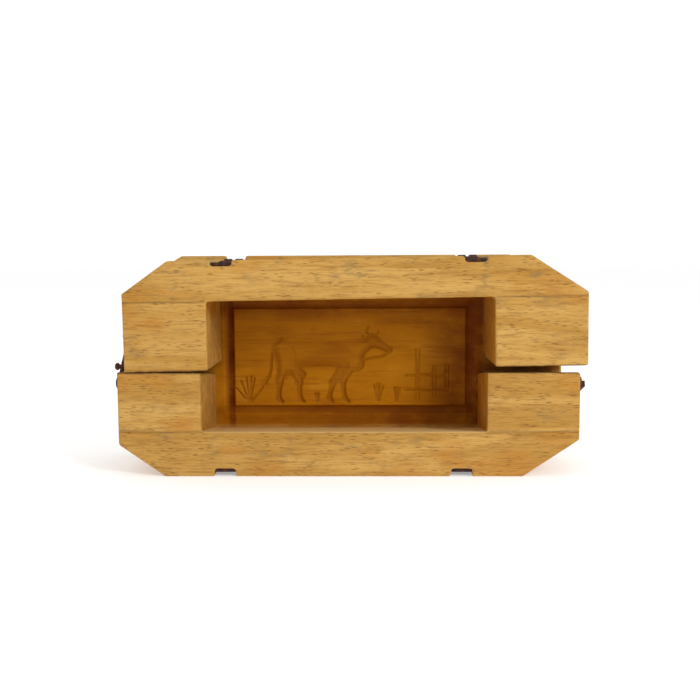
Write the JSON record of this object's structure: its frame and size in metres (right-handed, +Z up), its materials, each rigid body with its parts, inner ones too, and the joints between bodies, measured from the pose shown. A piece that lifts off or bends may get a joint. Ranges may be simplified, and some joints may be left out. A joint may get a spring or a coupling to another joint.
{
  "type": "butter mould",
  "caption": "Hinged wooden butter mould: two C-shaped halves fold round a carved eight-sided base board and hook shut at the ends.",
  "frame": {"origin": "on the lower half's outer face, which it stands on, midway along its length and midway through the halves' depth", "axes": "+X along the mould to the right, -Y out of its mouth, +Z up from the standing face to the upper half"},
  "size_m": [0.2561, 0.068, 0.117],
  "materials": {
    "beech": "old worn bare beech with dark flecks",
    "oiled_beech": "oil-soaked carved beech",
    "rusty_iron": "dark rusty wrought iron",
    "red_rust_iron": "red rusted iron"
  },
  "bodies": {
    "base": {"base_board": "oiled_beech", "base_lower_left_leaf": "rusty_iron", "base_lower_right_leaf": "rusty_iron", "base_upper_left_leaf": "rusty_iron", "base_upper_right_leaf": "rusty_iron", "lower_left_hinge_pin": "rusty_iron", "lower_right_hinge_pin": "rusty_iron", "upper_left_hinge_pin": "rusty_iron", "upper_right_hinge_pin": "rusty_iron", "base_leaf_screws": "rusty_iron"},
    "lower_half": {"lower_rail": "beech", "lower_left_end_block": "beech", "lower_right_end_block": "beech", "lower_left_leaf": "rusty_iron", "lower_right_leaf": "rusty_iron", "lower_leaf_screws": "rusty_iron", "left_pivot_screw": "rusty_iron", "right_pivot_screw": "rusty_iron"},
    "upper_half": {"upper_rail": "beech", "upper_left_end_block": "beech", "upper_right_end_block": "beech", "upper_left_leaf": "rusty_iron", "upper_right_leaf": "rusty_iron", "upper_leaf_screws": "rusty_iron", "left_catch_pin": "rusty_iron", "right_catch_pin": "rusty_iron"},
    "left_hook": {"left_hook": "rusty_iron", "left_hook_knob": "red_rust_iron"},
    "right_hook": {"right_hook": "rusty_iron"}
  },
  "joints": [
    {"name": "lower_half_hinge", "type": "hinge", "parent": "base", "child": "lower_half", "pos_m": [0, 0.025, 0.0019], "axis": [1, 0, 0], "range_deg": [0, 100]},
    {"name": "upper_half_hinge", "type": "hinge", "parent": "base", "child": "upper_half", "pos_m": [0.00329, 0.025, 0.11439], "axis": [-0.9999, 0, -0.0122], "range_deg": [0, 100]},
    {"name": "left_hook_pivot", "type": "hinge", "parent": "lower_half", "child": "left_hook", "pos_m": [-0.122, -0.015, 0.049], "axis": [-1, 0, 0], "range_deg": [-16, 134]},
    {"name": "right_hook_pivot", "type": "hinge", "parent": "lower_half", "child": "right_hook", "pos_m": [0.122, -0.011, 0.049], "axis": [-1, 0, 0], "range_deg": [-80, 70]}
  ]
}
